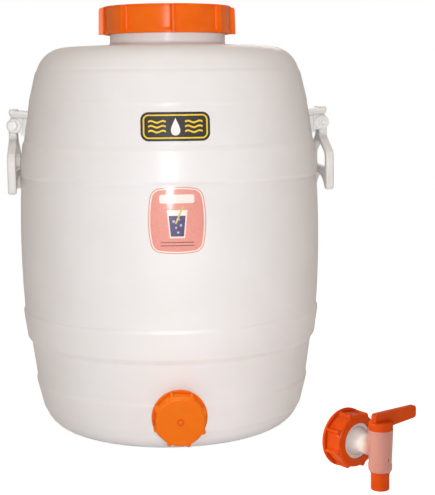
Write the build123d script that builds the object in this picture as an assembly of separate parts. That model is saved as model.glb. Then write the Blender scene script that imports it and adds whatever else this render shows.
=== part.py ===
from build123d import *
import os
from math import cos, pi, radians, sin

os.makedirs("parts", exist_ok=True)

# Beverage barrel in millimetres: +Z is up, the outlet faces -Y, the handles are at +X and -X.
# The origin is on the barrel's axis, in the plane it stands on.

# Barrel wall, as radii and as heights above or below the middle of the belly;
# where the two halves differ, 1 is the upper half and -1 the lower
body_mid = 262.0
belly_radius = 210.0
belly_edge_radius = 207.0
inner_hoop_low = 92.2
inner_hoop_high = {1: 134.9, -1: 131.4}
inner_hoop_low_radius = 209.2
inner_hoop_high_radius = 204.6
outer_hoop_low = 190.8
outer_hoop_high = 232.4
waist_low_radius = {1: 202.0, -1: 199.3}
waist_high_radius = {1: 194.0, -1: 192.2}
outer_hoop_low_radius = 193.7
outer_hoop_high_radius = 184.6
crease_radius = 182.2
crease_round = 12.0
hoop_ramp = 4.0
waist_ramp = {1: 6.0, -1: 7.5}
hoop_round = 5.0
end_corner_radius = 170.5
end_round = 42.0
shoulder_rise = 270.5
shoulder_fall = 4.0
foot_round = 38.0
neck_foot_round = 4.0
neck_rim_round = 1.5
wall = 4.5
base_thick = 7.0
base_groove_outer = 128.0
base_groove_inner = 112.0
base_groove_depth = 2.5
base_groove_round = 1.0
inner_waist_round = 60.0
inner_hoop_round = 30.0
inner_foot_round = 32.0

# Neck and screw lid
neck_radius = 80.0
neck_wall = 6.0
neck_thread_radius = 82.3
lid_bottom = 547.0
lid_top = 584.8
lid_roof = 4.0
lid_panel_radius = 87.0
lid_bead_radius = 88.8
lid_bead_tall = 2.2
lid_bead_flare = 4.0
lid_bead_round = 1.0
lid_flare_round = 5.0
lid_top_bead_radius = 88.3
lid_top_bead_tall = 1.8
lid_top_bead_flare = 0.9
lid_top_bead_round = 0.7
lid_turn = 2.4
lid_bore_radius = 83.2
lid_thread_radius = 80.9
lid_rib_radius = 95.6
lid_rib_top_radius = 94.6
lid_rib_width = 3.6
lid_rib_foot_round = 3.0
lid_rim_drop = 1.5
lid_rim_round = 4.0
lid_recess_outer = 76.0
lid_recess_inner = 6.0
lid_recess_depth = 1.2
lid_thread_pitch = 8.0
neck_thread_turns = 1.75
neck_thread_start = 8.0
lid_thread_turns = 1.5
grip_count = 8

# Thread ridges, as shares of their pitch, and how deep they root
thread_foot_share = 0.22
thread_tip_share = 0.12
thread_sink = 0.6

# Seals
gasket_thick = 2.5
gasket_play = 0.7
gasket_lap = 1.0
gasket_bore_radius = 18.0
neck_rim = lid_top - lid_roof - gasket_thick

# Outlet spigot and the screw cap on it; the tap's union nut has the same thread and grip
outlet_height = 55.5
outlet_root = 165.0
outlet_seat = 197.5
outlet_seat_radius = 33.0
spigot_radius = 26.8
spigot_bore_radius = 22.0
cap_back = 199.5
cap_length = 26.5
cap_roof = 3.0
cap_flange_radius = 36.0
cap_flange_thick = 3.6
cap_flange_round = 1.2
cap_corner_radius = 33.0
cap_facet_radius = 31.9
cap_bore_radius = 30.2
cap_rib_radius = 35.4
cap_rib_width = 2.4
cap_rib_foot = 8.0
cap_rib_root = 31.0
cap_rib_slope = 2.7
cap_rib_drop = 0.8
cap_face_round = 4.0
spigot_thread_radius = 29.5
cap_thread_radius = 27.6
cap_turn = 18.0
cap_nub_radius = 2.6
cap_nub_tall = 1.6
cap_moat_radius = 4.6
cap_moat_depth = 1.0
cap_thread_pitch = 6.0
spigot_thread_turns = 1.6
cap_thread_turns = 1.5
cap_thread_start = 7.5

# Swing handles and their brackets
hinge_out = 216.5
hinge_height = 423.8
pin_radius = 3.5
pin_play = 1.2
pin_head_radius = 7.6
pin_head_tall = 3.6
pin_head_round = 3.2
pin_end_round = 0.8
pin_tail = 4.0
clip_radius = 7.0
clip_thick = 1.6
close_fit = 0.05
boss_radius = 10.0
boss_inset = 2.4
boss_proud = 1.2
boss_meet_angle = 60.0
eye_radius = 8.0
cheek_inner = 14.0
cheek_outer = 22.0
cheek_sink = 2.0
pin_seat = cheek_outer + boss_proud
bracket_half_width = 27.0
bracket_pad_half_width = 21.0
bracket_base_face = 204.5
bracket_depth = 40.0
bracket_plate_end = 220.0
bracket_plate_low = 435.2
bracket_plate_high = 443.7
bracket_plate_tilt = 5.0
bracket_plate_step = 1.0
bracket_step_drop = 4.6
bracket_bead = 1.4
bracket_bead_width = 8.5
bracket_foot_low = 410.0
bracket_key_depth = 2.5
bracket_key_reach = 3.0
bracket_key_length = 60.0
bracket_key_width = 30.0
bracket_key_tall = 24.0
bracket_corner_round = 3.0
bracket_edge_round = 0.8
bracket_lip_round = 2.0
handle_thick = 11.5
handle_half_width = 55.0
handle_neck_half = 13.2
handle_shoulder = 406.0
handle_corner = 384.0
handle_bottom = 331.5
handle_arch = 351.6
handle_leg_width = 12.0
handle_edge_round = 3.0
handle_rounds = [8.0, 16.0, 5.0]
handle_twist = 4.0
arch_spread = 2.0
grip_opening_low = 362.6
grip_opening_shoulder = 380.0
grip_opening_high = 396.0
grip_opening_top_half = 11.0
opening_foot_round = 4.0
opening_rounds = [9.0, 10.0]

# Labels
label_thick = 0.3
badge_size = (87.0, 36.0)
badge_height = 427.0
badge_corner = 10.0
contents_size = (73.0, 84.0)
contents_height = 310.5
contents_corner = 14.0
contents_side_bulge = 5.0
contents_end_bulge = 3.0

# How far cutting and trimming shapes reach past the face they cut
overshoot = 1.0

# Loose tap, standing on its spout on the floor at the front right
tap_x = 230.7
tap_y = -342.2
tap_heading = 122.0
inlet_height = 50.0
inlet_radius = 12.4
inlet_flare_radius = 18.0
inlet_bore_radius = 7.5
tap_flange_radius = 26.0
tap_flange_thick = 4.0
nut_back = 63.5
flange_front = nut_back - cap_length + cap_roof
flare_start = 27.0
nut_opening_radius = 22.0
sleeve_low = 23.0
sleeve_high = 73.5
sleeve_top_radius = 15.0
sleeve_foot_radius = 13.7
sleeve_rim_radius = 14.3
sleeve_rim_low = 2.5
sleeve_rim_step = 0.8
sleeve_foot_step = 0.6
sleeve_step_round = 0.3
sleeve_rim_high = 31.5
sleeve_bore_radius = 11.6
sleeve_slot_height = 39.0
sleeve_slot_size = (4.2, 1.8)
plug_play = 0.3
plug_ring_low = 36.0
plug_ring_high = 68.0
plug_ring_thick = 0.9
plug_groove_depth = 1.6
plug_groove_width = 2.2
spout_radius = 11.1
spout_bore_radius = 7.8
spout_end_round = 1.6
spout_mouth_round = 0.6
snap_bead_radius = 12.1
snap_bead_tall = 1.5
snap_bead_slope = 0.6
collar_high = 83.5
collar_radius = 14.6
collar_round = 2.5
lever_reach = 56.0
lever_tail = 12.5
lever_thick = 8.0
lever_top = 94.0
lever_foot = 75.0
lever_tip_low = 79.0
lever_tail_low = 78.5
lever_corner = 4.0
lever_edge_round = 1.5


def solid_of_revolution(outline):
    """Turn a closed half section, drawn as radius and height, about the upright axis."""
    return revolve(Plane.XZ * make_face(outline), Axis.Z)


def tube(outer, inner, length):
    """Upright ring or pipe from its own base plane."""
    return extrude(Circle(outer) - Circle(inner), length)


def thread_ridge(pitch, turns, root, crest, start):
    """One right-hand thread ridge as a swept trapezium, its middle starting at height start."""
    path = Helix(pitch, pitch * turns, root)
    foot_half = thread_foot_share * pitch
    tip_half = thread_tip_share * pitch
    sink = thread_sink if crest > root else -thread_sink
    reach = crest - root
    section_plane = Plane(origin=path @ 0, x_dir=(1, 0, 0), z_dir=path % 0)
    corners = [(-sink, -foot_half), (reach, -tip_half), (reach, tip_half), (-sink, foot_half)]
    section = section_plane * Polygon(*corners, align=None)
    return Pos(0, 0, start) * sweep(section, path=path, is_frenet=True)


def wall_half(side):
    """Outer wall points on one side of the middle, from the belly's edge to the crease."""
    points = [
        (belly_edge_radius, inner_hoop_low),
        (inner_hoop_low_radius, inner_hoop_low + hoop_ramp),
        (inner_hoop_high_radius, inner_hoop_high[side]),
        (waist_low_radius[side], inner_hoop_high[side] + waist_ramp[side]),
        (waist_high_radius[side], outer_hoop_low),
        (outer_hoop_low_radius, outer_hoop_low + hoop_ramp),
        (outer_hoop_high_radius, outer_hoop_high),
        (crease_radius, outer_hoop_high + hoop_ramp),
    ]
    return [(radius, body_mid + side * rise) for radius, rise in points]


def barrel_outside():
    """The barrel's outer shape as one full body, with its neck."""
    shoulder = body_mid + shoulder_rise
    hoop_rounds = [hoop_round] * 6
    upper = FilletPolyline(
        *wall_half(1),
        (end_corner_radius, shoulder - shoulder_fall),
        (neck_radius, shoulder),
        (neck_radius, neck_rim),
        (0, neck_rim),
        radius=hoop_rounds + [crease_round, end_round, neck_foot_round, neck_rim_round],
    )
    lower = FilletPolyline(
        *wall_half(-1),
        (end_corner_radius, 0),
        (base_groove_outer, 0),
        (base_groove_outer - base_groove_depth, base_groove_depth),
        (base_groove_inner + base_groove_depth, base_groove_depth),
        (base_groove_inner, 0),
        (0, 0),
        radius=hoop_rounds + [crease_round, foot_round] + [base_groove_round] * 4,
    )
    belly = ThreePointArc(wall_half(-1)[0], (belly_radius, body_mid), wall_half(1)[0])
    axis_line = Line((0, 0), (0, neck_rim))
    return solid_of_revolution(upper + belly + lower + axis_line)


def barrel_inside():
    """The hollow of the barrel, up through the neck."""
    inner_low_radius = belly_edge_radius - wall
    inner_waist_radius = waist_high_radius[-1] - wall
    inner_high_radius = outer_hoop_high_radius - wall
    floor_edge = end_corner_radius - wall
    shoulder = body_mid + shoulder_rise - wall
    neck_inner = neck_radius - neck_wall
    upper = FilletPolyline(
        (inner_low_radius, body_mid + inner_hoop_low),
        (inner_waist_radius, body_mid + outer_hoop_low),
        (inner_high_radius, body_mid + outer_hoop_high),
        (floor_edge, shoulder - shoulder_fall),
        (neck_inner, shoulder),
        (neck_inner, neck_rim + overshoot),
        (0, neck_rim + overshoot),
        radius=[inner_waist_round, inner_hoop_round, end_round - wall, neck_foot_round, 0],
    )
    lower = FilletPolyline(
        (inner_low_radius, body_mid - inner_hoop_low),
        (inner_waist_radius, body_mid - outer_hoop_low),
        (inner_high_radius, body_mid - outer_hoop_high),
        (floor_edge, base_thick),
        (0, base_thick),
        radius=[inner_waist_round, inner_hoop_round, inner_foot_round],
    )
    belly = ThreePointArc(
        (inner_low_radius, body_mid - inner_hoop_low),
        (belly_radius - wall, body_mid),
        (inner_low_radius, body_mid + inner_hoop_low),
    )
    axis_line = Line((0, base_thick), (0, neck_rim + overshoot))
    return solid_of_revolution(upper + belly + lower + axis_line)


def outlet_plane(distance):
    """Plane across the outlet's axis at a distance out from the barrel's axis, facing out."""
    return Plane(origin=(0, -distance, outlet_height), x_dir=(1, 0, 0), z_dir=(0, -1, 0))


def make_barrel_shell():
    """Wall with hoops, threaded neck and threaded outlet spigot, open inside."""
    spigot_end = cap_back + cap_length - cap_roof - gasket_thick
    root = outlet_plane(outlet_root)
    seat = root * extrude(Circle(outlet_seat_radius), outlet_seat - outlet_root)
    spigot = root * extrude(Circle(spigot_radius), spigot_end - outlet_root)
    bore = root * extrude(Circle(spigot_bore_radius), spigot_end - outlet_root)
    spigot_thread = outlet_plane(cap_back) * thread_ridge(
        cap_thread_pitch, spigot_thread_turns, spigot_radius, spigot_thread_radius, cap_thread_start
    )
    neck_thread = thread_ridge(
        lid_thread_pitch, neck_thread_turns, neck_radius, neck_thread_radius, lid_bottom + neck_thread_start
    )
    shell = barrel_outside() + seat + spigot
    shell = shell - barrel_inside() - bore
    shell = shell + neck_thread + spigot_thread
    key = bracket_key()
    return shell - key - half_turn * key


def facet_outline(corner_radius, facet_radius):
    """Eight slightly convex facets meeting at corners."""
    step = 2 * pi / grip_count
    facets = Curve()
    for k in range(grip_count):
        start = (corner_radius * cos(k * step), corner_radius * sin(k * step))
        middle = (facet_radius * cos((k + 0.5) * step), facet_radius * sin((k + 0.5) * step))
        end = (corner_radius * cos((k + 1) * step), corner_radius * sin((k + 1) * step))
        facets += ThreePointArc(start, middle, end)
    return make_face(facets)


def lid_outline():
    """The lid's round wall with a narrow rib at each grip, rounded at the rib's foot."""
    outline = Circle(lid_panel_radius)
    rib_length = lid_rib_radius - lid_bore_radius
    rib_middle = (lid_rib_radius + lid_bore_radius) / 2
    for place in PolarLocations(0, grip_count):
        outline += place * Pos(rib_middle, 0) * Rectangle(rib_length, lid_rib_width)
    foot_limit = (lid_panel_radius + lid_rib_radius) / 2
    feet = [v for v in outline.vertices() if (v.X**2 + v.Y**2) ** 0.5 < foot_limit]
    return fillet(feet, lid_rib_foot_round)


def lid_wall(height):
    """The lid's wall and roof as a full body, with a flared bead at its lower rim and a thin one on top."""
    top_bead = height - lid_top_bead_tall
    return solid_of_revolution(
        FilletPolyline(
            (0, 0),
            (lid_bead_radius, 0),
            (lid_bead_radius, lid_bead_tall),
            (lid_panel_radius, lid_bead_tall + lid_bead_flare),
            (lid_panel_radius, top_bead - lid_top_bead_flare),
            (lid_top_bead_radius, top_bead),
            (lid_top_bead_radius, height),
            (0, height),
            (0, 0),
            radius=[
                0,
                lid_bead_round,
                lid_bead_round,
                lid_flare_round,
                lid_top_bead_round,
                lid_top_bead_round,
                lid_top_bead_round,
                0,
            ],
        )
    )


def make_lid():
    """Screw lid with eight grip ribs, open below, with an inner thread."""
    height = lid_top - lid_bottom
    bore_depth = height - lid_roof
    grip = extrude(lid_outline(), height)
    trim = solid_of_revolution(
        FilletPolyline(
            (0, 0),
            (lid_rib_radius, 0),
            (lid_rib_top_radius, height - lid_rim_drop),
            (lid_panel_radius - overshoot, height),
            (0, height),
            (0, 0),
            radius=[0, 0, lid_rim_round, lid_rim_round, 0],
        )
    )
    lid = (grip & trim) + lid_wall(height)
    lid -= extrude(Circle(lid_bore_radius), bore_depth)
    lid -= Pos(0, 0, height - lid_recess_depth) * tube(lid_recess_outer, lid_recess_inner, lid_recess_depth)
    thread_start = neck_thread_start - lid_thread_pitch / 2
    lid = Rot(0, 0, lid_turn) * lid
    lid += thread_ridge(lid_thread_pitch, lid_thread_turns, lid_bore_radius, lid_thread_radius, thread_start)
    return Pos(0, 0, lid_bottom) * lid


def screw_shell(opening_radius):
    """Flanged and ribbed screw cap from its flange, w along its axis; opening_radius 0 closes its face."""
    facets = extrude(facet_outline(cap_corner_radius, cap_facet_radius), cap_length)
    facets &= solid_of_revolution(
        FilletPolyline(
            (0, 0),
            (cap_corner_radius + overshoot, 0),
            (cap_facet_radius, cap_length),
            (0, cap_length),
            (0, 0),
            radius=[0, 0, cap_face_round, 0],
        )
    )
    rib = Polyline(
        (cap_rib_root, -cap_rib_foot / 2),
        (cap_rib_radius, -cap_rib_width / 2),
        (cap_rib_radius, cap_rib_width / 2),
        (cap_rib_root, cap_rib_foot / 2),
        (cap_rib_root, -cap_rib_foot / 2),
    )
    rib_end = cap_length - cap_rib_drop
    rib_bar = extrude(make_face(rib), cap_length)
    rib_bar &= solid_of_revolution(
        Polyline(
            (0, 0),
            (cap_rib_radius + overshoot, 0),
            (cap_rib_radius + overshoot, rib_end - cap_rib_slope),
            (cap_facet_radius - cap_rib_width, rib_end),
            (0, rib_end),
            (0, 0),
        )
    )
    grip = facets
    for place in PolarLocations(0, grip_count):
        grip += place * rib_bar
    grip = Rot(0, 0, 90 + cap_turn) * grip
    flange = extrude(Circle(cap_flange_radius), cap_flange_thick)
    flange = fillet(flange.edges(), cap_flange_round)
    shell = grip + flange
    shell -= extrude(Circle(cap_bore_radius), cap_length - cap_roof)
    if opening_radius:
        shell -= extrude(Circle(opening_radius), cap_length)
    else:
        moat_floor = Pos(0, 0, cap_length - cap_moat_depth)
        shell -= moat_floor * tube(cap_moat_radius, cap_nub_radius, cap_moat_depth)
        nub = moat_floor * extrude(Circle(cap_nub_radius), cap_nub_tall + cap_moat_depth)
        shell += fillet(nub.edges().group_by(Axis.Z)[-1], cap_nub_tall / 2)
    start = cap_thread_start - cap_thread_pitch / 2
    shell += thread_ridge(cap_thread_pitch, cap_thread_turns, cap_bore_radius, cap_thread_radius, start)
    return shell


def plate_layer(reach, half_width, low, high):
    """One layer of the top plate, from inside the wall out to its reach, its outer corners rounded."""
    length = reach + bracket_depth
    layer = Pos(reach - length / 2, 0, (low + high) / 2) * Box(length, 2 * half_width, high - low)
    return fillet(layer.edges().filter_by(Axis.Z).group_by(Axis.X)[-1], bracket_corner_round)


def bracket_plate():
    """Top plate tilted with the wall's slope, stepped and rounded below, with a bead along its outer end."""
    reach = bracket_plate_end - bracket_base_face
    thick = bracket_plate_high - bracket_plate_low
    upper = plate_layer(reach, bracket_half_width, -bracket_step_drop, 0)
    upper = fillet(upper.faces().sort_by(Axis.Z)[-1].edges(), bracket_edge_round)
    lower_reach = reach - bracket_plate_step
    lower = plate_layer(lower_reach, bracket_half_width - bracket_plate_step, -thick, -bracket_step_drop)
    lower = fillet(lower.faces().sort_by(Axis.Z)[0].edges(), bracket_lip_round)
    bead_length = 2 * (bracket_half_width - bracket_edge_round)
    bead_place = Pos(reach - bracket_edge_round - bracket_bead_width / 2, 0, 0)
    bead = bead_place * Box(bracket_bead_width, bead_length, 2 * bracket_bead)
    bead = fillet(bead.edges().filter_by(Axis.Z), bracket_corner_round)
    bead = fillet(bead.faces().sort_by(Axis.Z)[-1].edges(), bracket_edge_round)
    place = Pos(bracket_base_face, 0, bracket_plate_high) * Rot(0, -bracket_plate_tilt, 0)
    return place * (upper + lower + bead)


def bracket_cheek():
    """Front cheek under the top plate, with a raised boss round its pin hole."""
    pad_top = (bracket_plate_low + bracket_plate_high) / 2
    root = bracket_base_face - cheek_sink
    boss_place = hinge_out - boss_inset
    boss_low = hinge_height - boss_radius
    meet_out = boss_radius * cos(radians(boss_meet_angle))
    meet_up = boss_radius * sin(radians(boss_meet_angle))
    face = make_face(
        Polyline(
            (root, pad_top),
            (bracket_plate_end - bracket_corner_round, pad_top),
            (boss_place + meet_out, hinge_height + meet_up),
            (boss_place, boss_low),
            (root, boss_low),
            (root, pad_top),
        )
    )
    thick = cheek_outer - cheek_inner
    boss = Pos(boss_place, hinge_height) * extrude(Circle(boss_radius), thick + boss_proud)
    boss = fillet(boss.edges().group_by(Axis.Z)[-1], bracket_edge_round)
    hole = Pos(hinge_out, hinge_height) * extrude(Circle(pin_radius + close_fit), thick + boss_proud)
    front = Plane(origin=(0, -cheek_inner, 0), x_dir=(1, 0, 0), z_dir=(0, -1, 0))
    return front * (extrude(face, thick) + boss - hole)


def make_bracket():
    """Right-hand bracket: base held in the wall, top plate and two cheeks with a pin hole."""
    pad_top = (bracket_plate_low + bracket_plate_high) / 2
    pad_place = Pos(bracket_base_face - bracket_depth / 2, 0, (bracket_foot_low + pad_top) / 2)
    pad = pad_place * Box(bracket_depth, 2 * bracket_pad_half_width, pad_top - bracket_foot_low)
    cheek = bracket_cheek()
    body = pad + bracket_plate() + cheek + mirror(cheek, about=Plane.XZ)
    return body - barrel_outside() + bracket_key()


def bracket_key():
    """The bracket's foot below the wall's surface, reaching out into the bracket's base."""
    low = bracket_foot_low
    high = bracket_plate_high
    waist_low = body_mid + inner_hoop_high[1] + waist_ramp[1]
    waist_high = body_mid + outer_hoop_low
    fall = (waist_low_radius[1] - waist_high_radius[1]) / (waist_high - waist_low)
    low_radius = waist_low_radius[1] - fall * (low - waist_low)
    high_radius = waist_low_radius[1] - fall * (high - waist_low)
    inner = bracket_key_depth
    outer = bracket_key_reach
    ring = solid_of_revolution(
        Polyline(
            (low_radius - inner, low),
            (low_radius + outer, low),
            (high_radius + outer, high),
            (high_radius - inner, high),
            (low_radius - inner, low),
        )
    )
    middle = (bracket_foot_low + bracket_plate_high) / 2
    block = Pos(bracket_base_face, 0, middle) * Box(bracket_key_length, bracket_key_width, bracket_key_tall)
    return ring & block


def make_handle():
    """Flat loop with an eye at the top, wide on its pin, and an arched lower edge."""
    leg_inner = handle_half_width - handle_leg_width
    outer = FilletPolyline(
        (-handle_neck_half, hinge_height),
        (handle_neck_half, hinge_height),
        (handle_neck_half, handle_shoulder),
        (handle_half_width, handle_corner),
        (handle_half_width, handle_bottom),
        (-handle_half_width, handle_bottom),
        (-handle_half_width, handle_corner),
        (-handle_neck_half, handle_shoulder),
        (-handle_neck_half, hinge_height),
        radius=[0, 0] + handle_rounds + handle_rounds[::-1],
    )
    opening = FilletPolyline(
        (-leg_inner, grip_opening_low),
        (leg_inner, grip_opening_low),
        (leg_inner, grip_opening_shoulder),
        (grip_opening_top_half, grip_opening_high),
        (-grip_opening_top_half, grip_opening_high),
        (-leg_inner, grip_opening_shoulder),
        (-leg_inner, grip_opening_low),
        radius=[opening_foot_round] * 2 + opening_rounds + opening_rounds[::-1],
    )
    arch_half = leg_inner + arch_spread
    arch = make_face(
        ThreePointArc((-arch_half, handle_bottom), (0, handle_arch), (arch_half, handle_bottom))
        + Line((arch_half, handle_bottom), (-arch_half, handle_bottom))
    )
    face = make_face(outer) - arch - make_face(opening)
    low_corners = [v for v in face.vertices() if v.Y < handle_bottom + arch_spread]
    leg_ends = [v for v in low_corners if abs(v.X) < arch_half + arch_spread]
    face = fillet(leg_ends, handle_edge_round)
    plate = Plane.YZ * extrude(face, handle_thick / 2, both=True)
    rims = plate.faces().filter_by(Axis.X).edges().filter_by(lambda e: e.center().Z < handle_shoulder)
    plate = fillet(rims, handle_edge_round)
    eye = Pos(0, hinge_height)
    eye_barrel = Plane.XZ * extrude(eye * Circle(eye_radius), handle_neck_half, both=True)
    bore = Plane.XZ * extrude(eye * Circle(pin_radius + pin_play), handle_neck_half, both=True)
    return plate + eye_barrel - bore


def make_pin():
    """Right-hand hinge pin: domed head behind, plain end with a chamfer in front."""
    reach = pin_seat + pin_tail
    outline = FilletPolyline(
        (0, -reach),
        (pin_radius, -reach),
        (pin_radius, pin_seat),
        (pin_head_radius, pin_seat),
        (pin_head_radius, pin_seat + pin_head_tall),
        (0, pin_seat + pin_head_tall),
        (0, -reach),
        radius=[0, pin_end_round, 0, 0, pin_head_round, 0],
    )
    pin = solid_of_revolution(outline)
    return Pos(hinge_out, 0, hinge_height) * Rot(-90, 0, 0) * pin


def make_pin_clip():
    """Right-hand push-on ring on the pin's plain end, in front of the boss."""
    clip = tube(clip_radius, pin_radius + close_fit, clip_thick)
    return Pos(hinge_out, -pin_seat - clip_thick, hinge_height) * Rot(-90, 0, 0) * clip


def label_layer():
    """The barrel's upper wall grown by a label's thickness, as a full body."""
    grown = [(radius + label_thick, height) for radius, height in wall_half(1)]
    low = (grown[0][0], body_mid - inner_hoop_low)
    top_height = grown[-1][1]
    upper = FilletPolyline(*grown, (0, top_height), radius=[hoop_round] * 6 + [0])
    belly = ThreePointArc(low, (belly_radius + label_thick, body_mid), grown[0])
    ends = Polyline(low, (0, low[1]), (0, top_height))
    return solid_of_revolution(upper + belly + ends)


def contents_outline():
    """Rounded outline of the contents label, its sides and ends bulged."""
    half_wide = contents_size[0] / 2
    half_tall = contents_size[1] / 2
    corner_x = half_wide - contents_side_bulge
    corner_z = half_tall - contents_end_bulge
    sides = Curve()
    for side in (-1, 1):
        x = side * corner_x
        z = side * corner_z
        sides += ThreePointArc((x, -corner_z), (side * half_wide, 0), (x, corner_z))
        sides += ThreePointArc((-corner_x, z), (0, side * half_tall), (corner_x, z))
    outline = make_face(sides)
    return fillet(outline.vertices(), contents_corner)


def make_label(outline, height):
    """Thin printed skin on the front of the barrel, with that outline about that height."""
    front = Plane(origin=(0, 0, height), x_dir=(1, 0, 0), z_dir=(0, -1, 0))
    cutter = front * extrude(outline, 2 * belly_radius)
    return (label_layer() & cutter) - barrel_outside()


def tap_plane(distance):
    """Plane across the inlet's axis at a distance from the spout's axis, facing the spout."""
    out = (cos(radians(tap_heading)), sin(radians(tap_heading)), 0)
    origin = (tap_x + distance * out[0], tap_y + distance * out[1], inlet_height)
    return Plane(origin=origin, x_dir=(out[1], -out[0], 0), z_dir=(-out[0], -out[1], 0))


def make_tap_body():
    """Upright sleeve with an inlet tube and its flange disc."""
    outline = FilletPolyline(
        (0, sleeve_low),
        (sleeve_foot_radius - sleeve_foot_step, sleeve_low),
        (sleeve_rim_radius, sleeve_low + sleeve_rim_low),
        (sleeve_rim_radius, sleeve_rim_high),
        (sleeve_foot_radius, sleeve_rim_high + sleeve_rim_step),
        (sleeve_top_radius, sleeve_high),
        (0, sleeve_high),
        (0, sleeve_low),
        radius=[0, 0, sleeve_foot_step, sleeve_step_round, sleeve_step_round, sleeve_rim_step, 0],
    )
    hollow = Pos(0, 0, sleeve_low) * extrude(Circle(sleeve_bore_radius), sleeve_high - sleeve_low)
    sleeve = Pos(tap_x, tap_y) * solid_of_revolution(outline)
    sleeve_hollow = Pos(tap_x, tap_y) * hollow
    flange_back = flange_front + tap_flange_thick
    pipe = tap_plane(flange_back) * extrude(Circle(inlet_radius), flange_back)
    disc = tap_plane(flange_back) * extrude(Circle(tap_flange_radius), tap_flange_thick)
    flare_length = flange_front - flare_start
    flare_outline = Polyline(
        (0, 0), (inlet_flare_radius, 0), (inlet_radius, flare_length), (0, flare_length), (0, 0)
    )
    flare = tap_plane(flange_front) * solid_of_revolution(flare_outline)
    bore = tap_plane(flange_back) * extrude(Circle(inlet_bore_radius), flange_back)
    slot_face = Pos(0, sleeve_slot_height - inlet_height) * SlotOverall(*sleeve_slot_size, rotation=90)
    slot = tap_plane(0) * extrude(slot_face, sleeve_top_radius)
    return sleeve + pipe + disc + flare - sleeve_hollow - bore - slot


def make_tap_gasket():
    """Flat ring on the inlet side of the flange disc."""
    ring = tube(tap_flange_radius, gasket_bore_radius, gasket_thick)
    return tap_plane(flange_front + tap_flange_thick + gasket_thick) * ring


def make_tap_plug():
    """Turning plug with its spout below, its collar and lever above and a side port opposite the lever."""
    plug_radius = sleeve_bore_radius - plug_play
    bead_top = sleeve_low - plug_play
    outline = FilletPolyline(
        (spout_bore_radius, 0),
        (spout_radius, 0),
        (spout_radius, bead_top - snap_bead_tall - snap_bead_slope),
        (snap_bead_radius, bead_top - snap_bead_tall),
        (snap_bead_radius, bead_top),
        (plug_radius, bead_top),
        (plug_radius, sleeve_high),
        (collar_radius, sleeve_high),
        (collar_radius, collar_high),
        (0, collar_high),
        (0, inlet_height + inlet_bore_radius),
        (spout_bore_radius, inlet_height + inlet_bore_radius),
        (spout_bore_radius, 0),
        radius=[spout_mouth_round, spout_end_round] + [0] * 6 + [collar_round] + [0] * 3,
    )
    plug = solid_of_revolution(outline)
    for height in (plug_ring_low, plug_ring_high):
        groove = tube(plug_radius + overshoot, plug_radius - plug_groove_depth, plug_groove_width)
        plug -= Pos(0, 0, height - plug_groove_width / 2) * groove
    blade = make_face(
        FilletPolyline(
            (-lever_tail, lever_tail_low),
            (spout_radius, lever_foot),
            (lever_reach, lever_tip_low),
            (lever_reach, lever_top),
            (-lever_tail, lever_top),
            (-lever_tail, lever_tail_low),
            radius=[0, 0, lever_corner, lever_corner, lever_corner],
        )
    )
    lever = Plane.XZ * extrude(blade, lever_thick / 2, both=True)
    rims = lever.faces().filter_by(Axis.Y).edges().filter_by(lambda e: e.center().Z > lever_tip_low)
    lever = fillet(rims, lever_edge_round)
    port = Pos(0, 0, inlet_height) * Rot(0, -90, 0) * extrude(Circle(inlet_bore_radius), sleeve_top_radius)
    plug = plug + lever - port
    return Pos(tap_x, tap_y) * Rot(0, 0, tap_heading - 90) * plug


def make_plug_ring(height):
    """Round seal ring in one of the plug's grooves."""
    outer = sleeve_bore_radius - close_fit
    return Pos(tap_x, tap_y, height) * Torus(outer - plug_ring_thick, plug_ring_thick)


def save(shape, node):
    export_step(shape, "parts/" + node + ".step")


half_turn = Rot(0, 0, 180)
bracket_right = make_bracket()
bracket_left = half_turn * bracket_right
handle = make_handle()
handle_left = half_turn * Pos(hinge_out, 0, 0) * handle
handle_right = Pos(hinge_out, 0, 0) * Rot(0, 0, handle_twist) * handle
pin_right = make_pin()
clip_right = make_pin_clip()
gasket = tube(lid_bore_radius - gasket_play, neck_radius - neck_wall - gasket_lap, gasket_thick)
cap_gasket = tube(cap_bore_radius - gasket_play, gasket_bore_radius, gasket_thick)
cap_gasket_place = cap_back + cap_length - cap_roof - gasket_thick

save(make_barrel_shell(), "barrel_shell")
save(make_lid(), "lid")
save(Pos(0, 0, neck_rim) * gasket, "lid_gasket")
save(outlet_plane(cap_back) * screw_shell(0), "outlet_cap")
save(outlet_plane(cap_gasket_place) * cap_gasket, "outlet_cap_gasket")
save(bracket_right, "bracket_right")
save(bracket_left, "bracket_left")
save(handle_right, "handle_right")
save(handle_left, "handle_left")
save(pin_right, "handle_pin_right")
save(half_turn * pin_right, "handle_pin_left")
save(clip_right, "pin_clip_right")
save(half_turn * clip_right, "pin_clip_left")
save(make_label(RectangleRounded(*badge_size, badge_corner), badge_height), "badge_label")
save(make_label(contents_outline(), contents_height), "contents_label")
save(make_tap_body(), "tap_body")
save(tap_plane(nut_back) * screw_shell(nut_opening_radius), "tap_union_nut")
save(make_tap_gasket(), "tap_gasket")
save(make_tap_plug(), "tap_plug")
save(make_plug_ring(plug_ring_high), "plug_ring_upper")
save(make_plug_ring(plug_ring_low), "plug_ring_lower")
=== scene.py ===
# %% [markdown]
# # A beverage barrel with a loose tap
# The object is a bulged plastic drinks barrel with raised hoops, a ribbed screw lid, a swing handle on each
# side and a capped outlet low on the front. A plug tap stands beside it, ready for the outlet.
# The solids come ready made, so this lesson gives them their surfaces, prints the two labels, adds the fine
# traces of moulding, and sets up the camera and the light. Lengths are in metres, with +Z up, but what is
# printed on the labels is drawn in millimetres.

# %% Load the solids
from math import cos, pi, radians, sin

import bmesh
import bpy
from mathutils import Matrix, Vector
from mathutils.bvhtree import BVHTree
from mathutils.geometry import convex_hull_2d


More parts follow.
